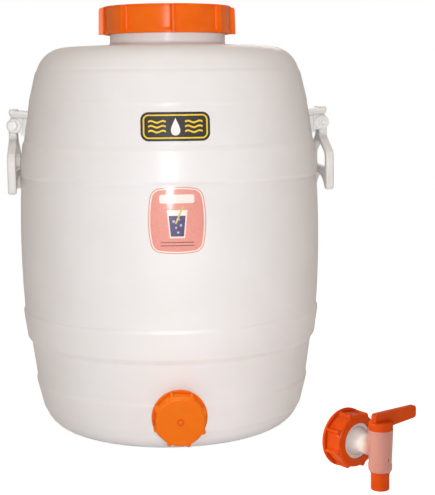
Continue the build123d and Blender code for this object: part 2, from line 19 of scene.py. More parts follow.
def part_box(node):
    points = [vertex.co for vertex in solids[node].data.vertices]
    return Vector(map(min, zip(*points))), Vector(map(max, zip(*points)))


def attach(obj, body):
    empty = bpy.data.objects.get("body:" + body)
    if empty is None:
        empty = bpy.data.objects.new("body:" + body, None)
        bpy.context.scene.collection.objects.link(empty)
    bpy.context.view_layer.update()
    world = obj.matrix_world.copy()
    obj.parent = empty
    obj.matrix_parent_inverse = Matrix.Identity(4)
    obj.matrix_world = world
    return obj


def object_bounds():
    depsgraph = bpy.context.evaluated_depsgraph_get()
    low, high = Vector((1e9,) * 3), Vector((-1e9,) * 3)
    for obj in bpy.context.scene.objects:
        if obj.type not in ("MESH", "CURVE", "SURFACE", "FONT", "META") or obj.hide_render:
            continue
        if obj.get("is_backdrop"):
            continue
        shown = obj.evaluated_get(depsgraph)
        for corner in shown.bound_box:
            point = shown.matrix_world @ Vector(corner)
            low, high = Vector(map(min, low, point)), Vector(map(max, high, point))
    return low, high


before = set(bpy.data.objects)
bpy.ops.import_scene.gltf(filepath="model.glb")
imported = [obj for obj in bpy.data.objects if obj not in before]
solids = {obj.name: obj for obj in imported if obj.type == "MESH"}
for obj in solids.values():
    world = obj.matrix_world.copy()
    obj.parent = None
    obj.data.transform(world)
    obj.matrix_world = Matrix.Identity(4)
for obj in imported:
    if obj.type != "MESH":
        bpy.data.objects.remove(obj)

cad_low, cad_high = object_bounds()
millimetre = 0.001
print("size in mm:", [round(side / millimetre, 1) for side in cad_high - cad_low])

# %% [markdown]
# ## The camera
# The picture was taken from a little above the barrel's middle, slightly from its left, with a long lens and
# the camera not quite level. A camera can be aimed with a constraint, but then its roll is lost. Here its
# three axes are worked out from heading, pitch and roll, and set as one matrix, so the framing is exact.

# %% Camera
camera_place = Vector((-0.0712, -1.6979, 0.4844))
heading = radians(4.66)
pitch_down = radians(7.96)
roll = radians(0.53)
lens_length = 87.35
film_size = 36.0

forward = Vector((sin(heading) * cos(pitch_down), cos(heading) * cos(pitch_down), -sin(pitch_down)))
level_right = Vector((cos(heading), -sin(heading), 0))
level_up = level_right.cross(forward)
camera_right = level_right * cos(roll) - level_up * sin(roll)
camera_up = level_up * cos(roll) + level_right * sin(roll)

camera_data = bpy.data.cameras.new("photo_camera")
camera_data.lens = lens_length
camera_data.sensor_width = film_size
camera = bpy.data.objects.new("photo_camera", camera_data)
camera.matrix_world = Matrix.Translation(camera_place) @ Matrix(
    (camera_right, camera_up, -forward)
).transposed().to_4x4()
bpy.context.scene.collection.objects.link(camera)
bpy.context.scene.camera = camera
print("camera distance from the barrel's axis:", round(camera_place.xy.length, 3))

# %% [markdown]
# ## Light, floor and background
# The barrel was lit by a flash by the camera in a room with warm lamps: its middle is nearly white, and its
# sides fall off to a warm grey. A tall oval lamp by the camera, a large one overhead and an even, warm world
# give that, and a lamp behind keeps the back from going dull. The tap is lit from its left and the outlet
# cap from above, so each has a narrow lamp of its own.
# The background is white paper. Lighting paper until it is white would burn the barrel out, so the world and
# the floor show white to the eye and to reflections by themselves, and the floor only loses what the shadow
# takes away.

# %% Node helpers
def add_node(tree, kind, **settings):
    """A node of that kind in the tree, with its own settings."""
    node = tree.nodes.new(kind)
    for setting, value in settings.items():
        setattr(node, setting, value)
    return node


def feed(tree, socket, source):
    """Links a source into a socket, or sets the socket where the source is a plain value."""
    if isinstance(source, bpy.types.NodeSocket):
        tree.links.new(source, socket)
    else:
        socket.default_value = source


def calculate(tree, operation, first, second=0.0):
    """One sum of two values."""
    node = add_node(tree, "ShaderNodeMath", operation=operation)
    feed(tree, node.inputs[0], first)
    feed(tree, node.inputs[1], second)
    return node.outputs[0]


def seen_directly(tree):
    """1 for the eye, for reflections and for looks through plastic, 0 for the light that shines on things."""
    path = add_node(tree, "ShaderNodeLightPath")
    direct = calculate(tree, "MAXIMUM", path.outputs["Is Camera Ray"], path.outputs["Is Glossy Ray"])
    return calculate(tree, "MAXIMUM", direct, path.outputs["Is Transmission Ray"])


def mix_shaders(tree, share, first, second):
    """The first shader at share 0 and the second at share 1."""
    mix = add_node(tree, "ShaderNodeMixShader")
    feed(tree, mix.inputs[0], share)
    feed(tree, mix.inputs[1], first)
    feed(tree, mix.inputs[2], second)
    return mix.outputs[0]


# %% World
fill_colour = (1.0, 0.82, 0.68, 1)
fill_strength = 0.30
paper_white = (1, 1, 1, 1)
paper_strength = 1.0


def world_light(tree, colour, strength):
    """An even light of one colour from all round."""
    light = add_node(tree, "ShaderNodeBackground")
    light.inputs["Color"].default_value = colour
    light.inputs["Strength"].default_value = strength
    return light.outputs[0]


world = bpy.data.worlds.new("studio_world")
bpy.context.scene.world = world
world.use_nodes = True
world_tree = world.node_tree
world_tree.nodes.clear()
fill = world_light(world_tree, fill_colour, fill_strength)
paper = world_light(world_tree, paper_white, paper_strength)
world_output = add_node(world_tree, "ShaderNodeOutputWorld")
shown_world = mix_shaders(world_tree, seen_directly(world_tree), fill, paper)
feed(world_tree, world_output.inputs["Surface"], shown_world)
print("world fill:", fill_strength)

# %% Floor
floor_radius = 6.0
floor_sides = 96
floor_drop = 0.2 * millimetre
floor_glow = 0.80
floor_shade = 0.55
floor_bounce = 0.93
shadow_near = 0.5
shadow_far = 1.3


def make_floor():
    """A flat disc just under the barrel, as wide as the camera can see."""
    mesh = bpy.data.meshes.new("floor")
    shape = bmesh.new()
    bmesh.ops.create_circle(shape, cap_ends=True, radius=floor_radius, segments=floor_sides)
    shape.to_mesh(mesh)
    shape.free()
    floor = bpy.data.objects.new("floor", mesh)
    floor.location.z = -floor_drop
    bpy.context.scene.collection.objects.link(floor)
    floor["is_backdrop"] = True
    return floor


def matt_paper(tree, tone):
    """Dull paper of that tone."""
    matt = add_node(tree, "ShaderNodeBsdfDiffuse")
    matt.inputs["Color"].default_value = (tone, tone, tone, 1)
    return matt.outputs[0]


def glowing_paper(tree, strength):
    """Paper that is white by itself."""
    glow = add_node(tree, "ShaderNodeEmission")
    glow.inputs["Color"].default_value = paper_white
    glow.inputs["Strength"].default_value = strength
    return glow.outputs[0]


def paper_floor():
    """White paper that keeps a soft shadow near the object and is plain white further out."""
    finish = bpy.data.materials.new("paper_floor")
    finish.use_nodes = True
    tree = finish.node_tree
    tree.nodes.clear()
    place = add_node(tree, "ShaderNodeTexCoord")
    reach = add_node(tree, "ShaderNodeVectorMath", operation="LENGTH")
    feed(tree, reach.inputs[0], place.outputs["Object"])
    farness = add_node(tree, "ShaderNodeMapRange", interpolation_type="SMOOTHSTEP")
    feed(tree, farness.inputs["Value"], reach.outputs["Value"])
    farness.inputs["From Min"].default_value = shadow_near
    farness.inputs["From Max"].default_value = shadow_far
    shaded = add_node(tree, "ShaderNodeAddShader")
    feed(tree, shaded.inputs[0], glowing_paper(tree, floor_glow))
    feed(tree, shaded.inputs[1], matt_paper(tree, floor_shade))
    plain = glowing_paper(tree, paper_strength)
    shown = mix_shaders(tree, farness.outputs["Result"], shaded.outputs[0], plain)
    output = add_node(tree, "ShaderNodeOutputMaterial")
    whole = mix_shaders(tree, seen_directly(tree), matt_paper(tree, floor_bounce), shown)
    feed(tree, output.inputs["Surface"], whole)
    return finish


floor = make_floor()
floor.data.materials.append(paper_floor())
print("floor radius:", floor_radius)

# %% Lamps
beam_blend = 0.5


def add_lamp(lamp, place, aim, watts, colour):
    """Puts a lamp at a place, turned towards a point."""
    lamp.energy = watts
    lamp.color = colour
    holder = bpy.data.objects.new(lamp.name, lamp)
    holder.location = place
    holder.rotation_euler = (Vector(aim) - Vector(place)).to_track_quat("-Z", "Y").to_euler()
    bpy.context.scene.collection.objects.link(holder)
    print(lamp.name, "watts:", watts)


def softbox(name, width, height):
    """An oval lamp of that size."""
    lamp = bpy.data.lights.new(name, "AREA")
    lamp.shape = "ELLIPSE"
    lamp.size = width
    lamp.size_y = height
    return lamp


def spotlight(name, spread, radius):
    """A lamp with a narrow beam of that spread and a soft edge."""
    lamp = bpy.data.lights.new(name, "SPOT")
    lamp.spot_size = spread
    lamp.spot_blend = beam_blend
    lamp.shadow_soft_size = radius
    return lamp


barrel_middle = (0, 0, 0.28)
flash_place = camera_place + Vector((0, -0.05, 0.02))
flash_colour = (0.935, 0.965, 1.0)
flash = softbox("flash", width=0.18, height=0.42)
add_lamp(flash, flash_place, barrel_middle, watts=15.2, colour=flash_colour)

room_place = (0, -0.5, 2.3)
room_colour = (1.0, 0.9, 0.8)
room_lamp = softbox("room_lamp", width=1.2, height=1.2)
add_lamp(room_lamp, room_place, barrel_middle, watts=8.5, colour=room_colour)

back_place = (0.3, 1.9, 1.3)
back_colour = (1.0, 0.95, 0.9)
back_lamp = softbox("back_lamp", width=1.0, height=1.0)
add_lamp(back_lamp, back_place, barrel_middle, watts=9.0, colour=back_colour)

tap_low, tap_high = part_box("tap_body")
tap_middle = (tap_low + tap_high) / 2
tap_lamp_place = tap_middle + Vector((-1.1, -0.12, 0.32))
tap_lamp_colour = (1.0, 1.0, 0.88)
tap_lamp = spotlight("tap_lamp", spread=radians(11), radius=0.10)
add_lamp(tap_lamp, tap_lamp_place, tap_middle, watts=46.0, colour=tap_lamp_colour)

cap_low, cap_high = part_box("outlet_cap")
cap_middle = (cap_low + cap_high) / 2
cap_lamp_place = cap_middle + Vector((-0.05, -0.12, 1.0))
cap_lamp_colour = (1.0, 0.96, 0.90)
cap_lamp = spotlight("cap_lamp", spread=radians(7), radius=0.03)
add_lamp(cap_lamp, cap_lamp_place, cap_middle, watts=10.0, colour=cap_lamp_colour)

view_settings = bpy.context.scene.view_settings
view_settings.view_transform = "Standard"

# %% [markdown]
# ## Moulded plastic, in general
# Every piece but the seals, the labels and the pin rings is moulded plastic, and moulded plastic is never
# one flat colour: the pigment clouds a little, the polish comes and goes, and the skin has a fine orange peel
# from the mould. One could paint images for that. Noise in the object's own space is simpler, has no seams,
# and stays put when a piece moves. The helpers below give a colour between two, a polish between two, painted
# shade in the hollows, and a fine skin.

# %% Surface helpers
def new_finish(name):
    """A material with its node tree and its main shader."""
    finish = bpy.data.materials.new(name)
    finish.use_nodes = True
    return finish, finish.node_tree, finish.node_tree.nodes["Principled BSDF"]


def cloud(tree, grain_size, detail=3.0, stretch=(1, 1, 1)):
    """Soft noise from 0 to 1, with grains of about that size in metres, drawn out where stretched."""
    place = add_node(tree, "ShaderNodeTexCoord")
    scaled = add_node(tree, "ShaderNodeVectorMath", operation="MULTIPLY")
    feed(tree, scaled.inputs[0], place.outputs["Object"])
    scaled.inputs[1].default_value = [1 / (grain_size * share) for share in stretch]
    noise = add_node(tree, "ShaderNodeTexNoise")
    noise.inputs["Scale"].default_value = 1.0
    noise.inputs["Detail"].default_value = detail
    feed(tree, noise.inputs["Vector"], scaled.outputs[0])
    return noise.outputs[0]


def between(tree, value, low, high, start=0.3, end=0.7):
    """The value's middle range spread from low to high."""
    spread = add_node(tree, "ShaderNodeMapRange")
    feed(tree, spread.inputs["Value"], value)
    spread.inputs["From Min"].default_value = start
    spread.inputs["From Max"].default_value = end
    spread.inputs["To Min"].default_value = low
    spread.inputs["To Max"].default_value = high
    return spread.outputs["Result"]


def tint(tree, share, first, second):
    """A colour that goes from the first to the second as share goes from 0 to 1."""
    mix = add_node(tree, "ShaderNodeMix", data_type="RGBA")
    feed(tree, mix.inputs["Factor"], share)
    for socket, colour in ((mix.inputs[6], first), (mix.inputs[7], second)):
        feed(tree, socket, colour if isinstance(colour, bpy.types.NodeSocket) else (*colour, 1))
    return mix.outputs[2]


shelter_samples = 8
most_sheltered = 0.35
least_sheltered = 0.95


# Ambient occlusion turned into colour: the shade that falls in corners and hollows, painted on.
def painted_shade_in_hollows(tree, reach, depth):
    """Painted shade: 0 on open faces, rising to depth in a piece's own corners and hollows, as far out of
    them as reach.
    """
    shelter = add_node(tree, "ShaderNodeAmbientOcclusion", only_local=True, samples=shelter_samples)
    shelter.inputs["Distance"].default_value = reach
    return between(tree, shelter.outputs["AO"], depth, 0.0, most_sheltered, least_sheltered)


def skin(tree, shader, height, depth):
    """A fine relief of that depth in metres on the shader."""
    relief = add_node(tree, "ShaderNodeBump")
    relief.inputs["Strength"].default_value = 1.0
    relief.inputs["Distance"].default_value = depth
    feed(tree, relief.inputs["Height"], height)
    feed(tree, shader.inputs["Normal"], relief.outputs[0])
    feed(tree, shader.inputs["Coat Normal"], relief.outputs[0])


def scatter(shader, share, radius):
    """Lets a share of the light scatter inside, as far as a radius per colour in metres."""
    shader.inputs["Subsurface Weight"].default_value = share
    shader.inputs["Subsurface Radius"].default_value = radius
    shader.inputs["Subsurface Scale"].default_value = 1.0


plastic_index = 1.5


def gloss(tree, shader, share, roughness, dullness):
    """A clear skin over the dull colour: its share, its roughness, and how dull the colour below is."""
    shader.inputs["Specular IOR Level"].default_value = 0.0
    shader.inputs["Coat IOR"].default_value = plastic_index
    shader.inputs["Coat Roughness"].default_value = roughness
    feed(tree, shader.inputs["Coat Weight"], share)
    feed(tree, shader.inputs["Roughness"], dullness)


def dress(finish, *names):
    """Gives a finish to solids by name."""
    for name in names:
        solids[name].data.materials.clear()
        solids[name].data.materials.append(finish)
    print(finish.name, "on", ", ".join(names))


# %% [markdown]
# ## The barrel's wall
# The wall is natural, unpigmented polyethylene: milky white, slightly see-through, with a satin skin. Light
# goes in, scatters and comes out again a few millimetres away, which softens the hoops' shadows. A painted
# gradient would only look right from one side, so the shader's own subsurface scattering does it. Blowing the
# wall leaves broad clouds of thicker and thinner plastic, and use leaves faint level scuffs.

# %% Natural wall
wall_pale = (0.832, 0.824, 0.830)
wall_deep = (0.804, 0.792, 0.793)
wall_scuff = (0.775, 0.758, 0.752)
wall_cloud_size = 0.09
scuff_size = 0.0022
scuff_stretch = (26, 26, 1)
scuff_colour_share = 0.3
scuff_polish_loss = 0.12
wall_polish_size = 0.02
wall_coat_roughness = 0.26
wall_scatter = (0.005, 0.004, 0.0035)
wall_scatter_share = 0.25
wall_peel_size = 0.004
wall_peel_depth = 0.06 * millimetre


def natural_wall():
    """Milky white polyethylene, cloudy, satin and faintly see-through."""
    finish, tree, shader = new_finish("natural_wall")
    clouds = cloud(tree, wall_cloud_size, detail=4.0)
    scuffs = cloud(tree, scuff_size, detail=2.0, stretch=scuff_stretch)
    scuffed = between(tree, scuffs, low=0.0, high=1.0, start=0.62, end=0.80)
    ground = tint(tree, between(tree, clouds, low=0.0, high=1.0), wall_deep, wall_pale)
    rubbed = calculate(tree, "MULTIPLY", scuffed, scuff_colour_share)
    feed(tree, shader.inputs["Base Color"], tint(tree, rubbed, ground, wall_scuff))
    polish = between(tree, cloud(tree, wall_polish_size), low=0.23, high=0.29)
    rubbed_off = calculate(tree, "MULTIPLY", scuffed, scuff_polish_loss)
    polish_left = calculate(tree, "SUBTRACT", polish, rubbed_off)
    dullness = between(tree, clouds, low=0.30, high=0.36)
    gloss(tree, shader, polish_left, wall_coat_roughness, dullness)
    scatter(shader, wall_scatter_share, wall_scatter)
    skin(tree, shader, cloud(tree, wall_peel_size, detail=2.0), wall_peel_depth)
    return finish


wall_finish = natural_wall()
dress(wall_finish, "barrel_shell")

# %% [markdown]
# ## The mould's seam
# A blown barrel is made in a mould of two halves, and where they met a thin raised line stays on the wall. It
# runs up each side under the handles. It could be a bump in the material, but a seam stands proud, so it is
# a small ridge. Rays shot at the wall find the surface, so the ridge follows every hoop.

# %% Mould seam
seam_half_width = 0.8 * millimetre
seam_height = 0.4 * millimetre
seam_sink = 0.3 * millimetre
seam_clear = 2.0 * millimetre
seam_centre = Vector((0, 0, 0.262))
seam_steps = 300
seam_turn = 66.0


def surface_of(name):
    """A ray target made from one solid."""
    mesh = solids[name].data
    return BVHTree.FromPolygons([v.co for v in mesh.vertices], [p.vertices for p in mesh.polygons])


def seam_points(target, side):
    """Points and outward directions up one side, in runs that leave out the foot and the bracket."""
    bracket_low, bracket_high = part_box("bracket_right")
    runs = [[], []]
    for step in range(-seam_steps, seam_steps + 1):
        angle = radians(seam_turn * step / seam_steps)
        outward = Vector((side * cos(angle), 0, sin(angle)))
        point, normal, _, _ = target.ray_cast(seam_centre + outward, -outward)
        if point.z < seam_clear:
            continue
        if point.z < bracket_low.z - seam_clear:
            runs[0].append((point, normal))
        elif point.z > bracket_high.z + seam_clear:
            runs[1].append((point, normal))
    return runs


def add_ridge(shape, run):
    """A closed three-sided ridge along a run of surface points."""
    across = Vector((0, seam_half_width, 0))
    rows = []
    for point, normal in run:
        foot = point - normal * seam_sink
        corners = (foot - across, point + normal * seam_height, foot + across)
        rows.append([shape.verts.new(corner) for corner in corners])
    for lower, upper in zip(rows, rows[1:]):
        for k in range(3):
            shape.faces.new((lower[k], lower[k - 1], upper[k - 1], upper[k]))
    shape.faces.new(rows[0])
    shape.faces.new(rows[-1])


def make_seam():
    """The seam on both sides, as one piece."""
    target = surface_of("barrel_shell")
    shape = bmesh.new()
    for side in (-1, 1):
        for run in seam_points(target, side):
            add_ridge(shape, run)
    bmesh.ops.recalc_face_normals(shape, faces=shape.faces)
    mesh = bpy.data.meshes.new("mould_seam")
    shape.to_mesh(mesh)
    shape.free()
    seam = bpy.data.objects.new("mould_seam", mesh)
    bpy.context.scene.collection.objects.link(seam)
    return seam


seam = make_seam()
seam.data.materials.append(wall_finish)
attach(seam, "barrel")
print("mould seam faces:", len(seam.data.polygons))

# %% [markdown]
# ## The lid and the outlet cap
# Both are the same orange-red moulded plastic, glossy where hands polish it. They get lit and shaded copies
# of one colour, the lid's brighter and the cap's darker and a little yellower: painted light and shade that
# even out the flash, which strikes the cap face-on and the lid aslant. The pigment is strong but not quite
# opaque, so a little light scatters in it and the thin ribs glow.
# Painted shade darkens the colour in the corners beside the ribs. The gloss is kept low, because the white
# all round would otherwise wash the colour out. The clouds in the pigment are as large as a thumb.

# %% Orange plastic
# Painted shade: the colour the corners darken to, and how far and how deep it reaches.
corner_shade_share = (0.92, 0.34, 0.5)
corner_shade_reach = 4.0 * millimetre
corner_shade_depth = 0.8
pigment_cloud_size = 0.03
hand_polish_size = 0.006
polish_swing = 0.12
orange_coat_roughness = 0.25
orange_scatter = (0.006, 0.001, 0.0004)
orange_scatter_share = 0.3
orange_peel_size = 0.0016
orange_peel_depth = 0.02 * millimetre


def orange_plastic(name, bright, deep, polish):
    """Pigmented plastic with clouded colour, painted shade in its corners, and a soft gloss."""
    finish, tree, shader = new_finish(name)
    clouds = between(tree, cloud(tree, pigment_cloud_size), low=0.0, high=1.0)
    ground = tint(tree, clouds, deep, bright)
    corner = tuple(share * tone for share, tone in zip(corner_shade_share, deep))
    # Painted shade: the colour goes deeper where the piece shelters itself.
    shaded_corners = painted_shade_in_hollows(tree, corner_shade_reach, corner_shade_depth)
    feed(tree, shader.inputs["Base Color"], tint(tree, shaded_corners, ground, corner))
    patches = cloud(tree, hand_polish_size)
    shine = between(tree, patches, low=polish * (1 - polish_swing), high=polish * (1 + polish_swing))
    dullness = between(tree, patches, low=0.18, high=0.26)
    gloss(tree, shader, shine, orange_coat_roughness, dullness)
    scatter(shader, orange_scatter_share, orange_scatter)
    skin(tree, shader, cloud(tree, orange_peel_size, detail=2.0), orange_peel_depth)
    return finish


# Painted light and shade: the lid's orange is set brighter and the cap's darker, though they are one plastic.
lid_bright = (0.95, 0.176, 0.007)
lid_deep = (0.92, 0.150, 0.006)
dress(orange_plastic("red_lid", lid_bright, lid_deep, polish=0.26), "lid")
cap_bright = (0.79, 0.170, 0.004)
cap_deep = (0.76, 0.148, 0.004)
dress(orange_plastic("red_cap", cap_bright, cap_deep, polish=0.22), "outlet_cap")

# %% [markdown]
# ## Handles, brackets and pins
# These are white moulded plastic with a satin skin, a little greyer than the wall. Hands leave them slightly
# soiled here and there and polished on the grips, so both colour and polish vary slowly, and painted shade
# darkens their hollows.

# %% White fittings
# Painted shade: the colour the hollows darken to, and how far and how deep it reaches.
hollow_shade_colour = (0.34, 0.32, 0.30)
hollow_shade_reach = 4.0 * millimetre
hollow_shade_depth = 0.8
soil_cloud_size = 0.024
grip_polish_size = 0.008
fitting_gloss = 0.35
fitting_scatter = (0.003, 0.0025, 0.002)
fitting_scatter_share = 0.15
fitting_peel_size = 0.0018
fitting_peel_depth = 0.03 * millimetre


def white_plastic(name, pale, soiled, smoothest, roughest):
    """Satin white plastic with slow changes of colour and polish, and painted shade in its hollows."""
    finish, tree, shader = new_finish(name)
    soil = between(tree, cloud(tree, soil_cloud_size), low=0.0, high=1.0)
    ground = tint(tree, soil, soiled, pale)
    # Painted shade in the piece's own hollows.
    shaded_hollows = painted_shade_in_hollows(tree, hollow_shade_reach, hollow_shade_depth)
    feed(tree, shader.inputs["Base Color"], tint(tree, shaded_hollows, ground, hollow_shade_colour))
    roughness = between(tree, cloud(tree, grip_polish_size), smoothest, roughest)
    feed(tree, shader.inputs["Roughness"], roughness)
    shader.inputs["IOR"].default_value = plastic_index
    shader.inputs["Specular IOR Level"].default_value = fitting_gloss
    scatter(shader, fitting_scatter_share, fitting_scatter)
    skin(tree, shader, cloud(tree, fitting_peel_size, detail=2.0), fitting_peel_depth)
    return finish


fitting_pale = (0.79, 0.785, 0.775)
fitting_soiled = (0.73, 0.72, 0.70)
fitting_finish = white_plastic("white_fitting", fitting_pale, fitting_soiled, smoothest=0.36, roughest=0.48)
dress(fitting_finish, "bracket_left", "bracket_right", "handle_left", "handle_right")
pin_pale = (0.83, 0.825, 0.815)
pin_soiled = (0.79, 0.78, 0.77)
pin_finish = white_plastic("white_pin", pin_pale, pin_soiled, smoothest=0.22, roughest=0.32)
dress(pin_finish, "handle_pin_left", "handle_pin_right")

# %% Pin rings
steel_dark = (0.40, 0.39, 0.38)
steel_pale = (0.54, 0.53, 0.52)
steel_grain_size = 0.0008
steel_grain_depth = 0.01 * millimetre


def pressed_steel():
    """Thin pressed steel with a fine grain."""
    finish, tree, shader = new_finish("pin_clip")
    grain = cloud(tree, steel_grain_size)
    feed(tree, shader.inputs["Base Color"], tint(tree, grain, steel_dark, steel_pale))
    feed(tree, shader.inputs["Roughness"], between(tree, grain, low=0.50, high=0.65))
    shader.inputs["Metallic"].default_value = 1.0
    skin(tree, shader, grain, steel_grain_depth)
    return finish


dress(pressed_steel(), "pin_clip_left", "pin_clip_right")

# %% [markdown]
# ## The tap
# The tap's body is milky plastic: light passes through it, so the orange plug inside tints the upright sleeve
# pink, while the inlet pipe and its disc stay white. Real transmission through a thick milky wall is slow and
# noisy to render, so most of the glow is painted into the colour instead: it is full on the sleeve, which
# hugs the plug, and dies away with the distance from the plug's axis. The milky colours are set greyer than
# the plastic, painted shade that keeps the inlet pipe dim under the tap's lamp. The plug and the union nut
# are a deeper orange than the lid and the cap, and are set darker still as painted shade, which the tap's
# lamp lifts on the side it lights.

# %% Milky body
# Painted light: the plug's glow through the milky wall, where it is full and where it is gone.
glow_full = 15.6 * millimetre
glow_gone = 23.0 * millimetre
# Painted shade: both milky colours are set greyer than the plastic, to keep the inlet pipe dim under the
# tap's lamp.
milk_white = (0.66, 0.615, 0.59)
milk_grey = (0.60, 0.56, 0.535)
painted_plug_glow = (0.53, 0.235, 0.19)
milk_cloud_size = 0.012
milk_polish_size = 0.005
milk_index = 1.45
milk_gloss = 0.35
milk_clearness = 0.12
milk_scatter = (0.005, 0.003, 0.0025)
milk_scatter_share = 0.3
milk_peel_size = 0.0016
milk_peel_depth = 0.02 * millimetre


def plug_nearness(tree):
    """1 on the sleeve round the plug, falling to 0 along the inlet pipe."""
    ring_low, ring_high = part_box("plug_ring_upper")
    place = add_node(tree, "ShaderNodeTexCoord")
    offset = add_node(tree, "ShaderNodeVectorMath", operation="SUBTRACT")
    feed(tree, offset.inputs[0], place.outputs["Object"])
    offset.inputs[1].default_value = (ring_low + ring_high) / 2
    level = add_node(tree, "ShaderNodeVectorMath", operation="MULTIPLY")
    feed(tree, level.inputs[0], offset.outputs[0])
    level.inputs[1].default_value = (1, 1, 0)
    reach = add_node(tree, "ShaderNodeVectorMath", operation="LENGTH")
    feed(tree, reach.inputs[0], level.outputs[0])
    return between(tree, reach.outputs["Value"], 1.0, 0.0, glow_full, glow_gone)


def milky_plastic():
    """White plastic that lets a little light through, with the plug's glow painted into its colour near the
    plug.
    """
    finish, tree, shader = new_finish("tap_clear")
    clouds = between(tree, cloud(tree, milk_cloud_size), low=0.0, high=1.0)
    milk = tint(tree, clouds, milk_grey, milk_white)
    feed(tree, shader.inputs["Base Color"], tint(tree, plug_nearness(tree), milk, painted_plug_glow))
    roughness = between(tree, cloud(tree, milk_polish_size), low=0.28, high=0.40)
    feed(tree, shader.inputs["Roughness"], roughness)
    shader.inputs["IOR"].default_value = milk_index
    shader.inputs["Specular IOR Level"].default_value = milk_gloss
    shader.inputs["Transmission Weight"].default_value = milk_clearness
    scatter(shader, milk_scatter_share, milk_scatter)
    skin(tree, shader, cloud(tree, milk_peel_size, detail=2.0), milk_peel_depth)
    return finish


dress(milky_plastic(), "tap_body")
# Painted shade: the tap's own deeper orange is set darker still, and the tap's lamp lifts it on its lit side.
tap_bright = (0.55, 0.062, 0.002)
tap_deep = (0.50, 0.050, 0.002)
dress(orange_plastic("red_tap", tap_bright, tap_deep, polish=0.18), "tap_union_nut", "tap_plug")

# %% [markdown]
# ## The seals
# The flat gaskets and the plug's rings are white food-grade rubber: dull, with a slight bloom. They lie
# between other pieces and hardly show.

# %% Pale rubber
rubber_dull = (0.70, 0.68, 0.64)
rubber_bloom = (0.78, 0.77, 0.74)
bloom_size = 0.003
rubber_grain_size = 0.0009
rubber_grain_depth = 0.02 * millimetre


def pale_rubber():
    """Dull white rubber with a slight bloom."""
    finish, tree, shader = new_finish("seal")
    bloom = cloud(tree, bloom_size)
    feed(tree, shader.inputs["Base Color"], tint(tree, bloom, rubber_dull, rubber_bloom))
    feed(tree, shader.inputs["Roughness"], between(tree, bloom, low=0.55, high=0.75))
    skin(tree, shader, cloud(tree, rubber_grain_size, detail=2.0), rubber_grain_depth)
    return finish


dress(pale_rubber(), "lid_gasket", "outlet_cap_gasket", "tap_gasket", "plug_ring_upper", "plug_ring_lower")

# %% [markdown]
# ## The labels
# Two printed film labels are stuck on the front: a dark badge above, and a salmon-pink contents label below
# with a space to write on. Their design here is a plain one of its own. The ink could be a mask in the
# material, but masks blur when a texture is made of them. Each ink is a thin piece instead: its outline is
# drawn flat, cut into narrow strips so that it can bend, and laid on the label with rays.

# %% Ink helpers
ink_lift = 0.06 * millimetre
ink_thick = 0.04 * millimetre
strip_width = 3.0
label_span = 60


def lay_on(target, x, z, lift):
    """The point of a label's face in front of x and z, in metres, proud of it by that lift."""
    point, _, _, _ = target.ray_cast(Vector((x, -1, z)), Vector((0, 1, 0)))
    return point - Vector((0, lift, 0))


def cut_in_strips(shape):
    """Cuts flat ink along narrow upright and level strips, so that it can bend with the wall."""
    for k in range(-label_span, label_span + 1):
        for axis in (Vector((1, 0, 0)), Vector((0, 0, 1))):
            parts = shape.verts[:] + shape.edges[:] + shape.faces[:]
            bmesh.ops.bisect_plane(shape, geom=parts, plane_co=axis * k * strip_width, plane_no=axis)
    bmesh.ops.triangulate(shape, faces=shape.faces[:])


def print_ink(name, label, outlines, finish, layer=1):
    """One ink on one label. Outlines are closed lists of points in millimetres from the label's centre."""
    low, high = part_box(label)
    centre_height = (low.z + high.z) / 2
    shape = bmesh.new()
    for outline in outlines:
        shape.faces.new([shape.verts.new((x, 0, z)) for x, z in outline])
    cut_in_strips(shape)
    target = surface_of(label)
    for corner in shape.verts:
        x = corner.co.x * millimetre
        z = centre_height + corner.co.z * millimetre
        corner.co = lay_on(target, x, z, ink_lift * layer)
    bmesh.ops.recalc_face_normals(shape, faces=shape.faces)
    mesh = bpy.data.meshes.new(name)
    shape.to_mesh(mesh)
    shape.free()
    ink = bpy.data.objects.new(name, mesh)
    bpy.context.scene.collection.objects.link(ink)
    body = ink.modifiers.new("film", "SOLIDIFY")
    body.thickness = ink_thick
    body.offset = 0.0
    mesh.materials.append(finish)
    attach(ink, "barrel")
    print(name, "faces:", len(mesh.polygons))


mottle_size = 0.0025
film_polish_size = 0.012
print_gloss = 0.15
film_roughness = 0.1
film_wave_size = 0.003
film_wave_depth = 0.015 * millimetre


def printed_film(name, first, second, coat):
    """A printed colour under a clear film, with the faint mottle of printing."""
    finish, tree, shader = new_finish(name)
    mottle = between(tree, cloud(tree, mottle_size, detail=2.0), low=0.0, high=1.0)
    feed(tree, shader.inputs["Base Color"], tint(tree, mottle, first, second))
    roughness = between(tree, cloud(tree, film_polish_size), low=0.32, high=0.42)
    feed(tree, shader.inputs["Roughness"], roughness)
    shader.inputs["Specular IOR Level"].default_value = print_gloss
    shader.inputs["Coat Weight"].default_value = coat
    shader.inputs["Coat Roughness"].default_value = film_roughness
    skin(tree, shader, cloud(tree, film_wave_size, detail=2.0), film_wave_depth)
    return finish


# %% Outline helpers
def label_rim(name):
    """The rim of a label seen from the front, in millimetres from its centre, going round once."""
    low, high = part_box(name)
    centre = (low + high) / 2
    corners = [(corner.co - centre) / millimetre for corner in solids[name].data.vertices]
    flat = [Vector((corner.x, corner.z)) for corner in corners]
    return [flat[k] for k in convex_hull_2d(flat)]


def drawn_in(rim, inset):
    """A rim drawn in evenly by an inset in millimetres."""
    points = []
    for k, point in enumerate(rim):
        along = (rim[(k + 1) % len(rim)] - rim[k - 1]).normalized()
        inward = Vector((-along.y, along.x))
        if inward.dot(point) > 0:
            inward.negate()
        points.append(tuple(point + inward * inset))
    return points


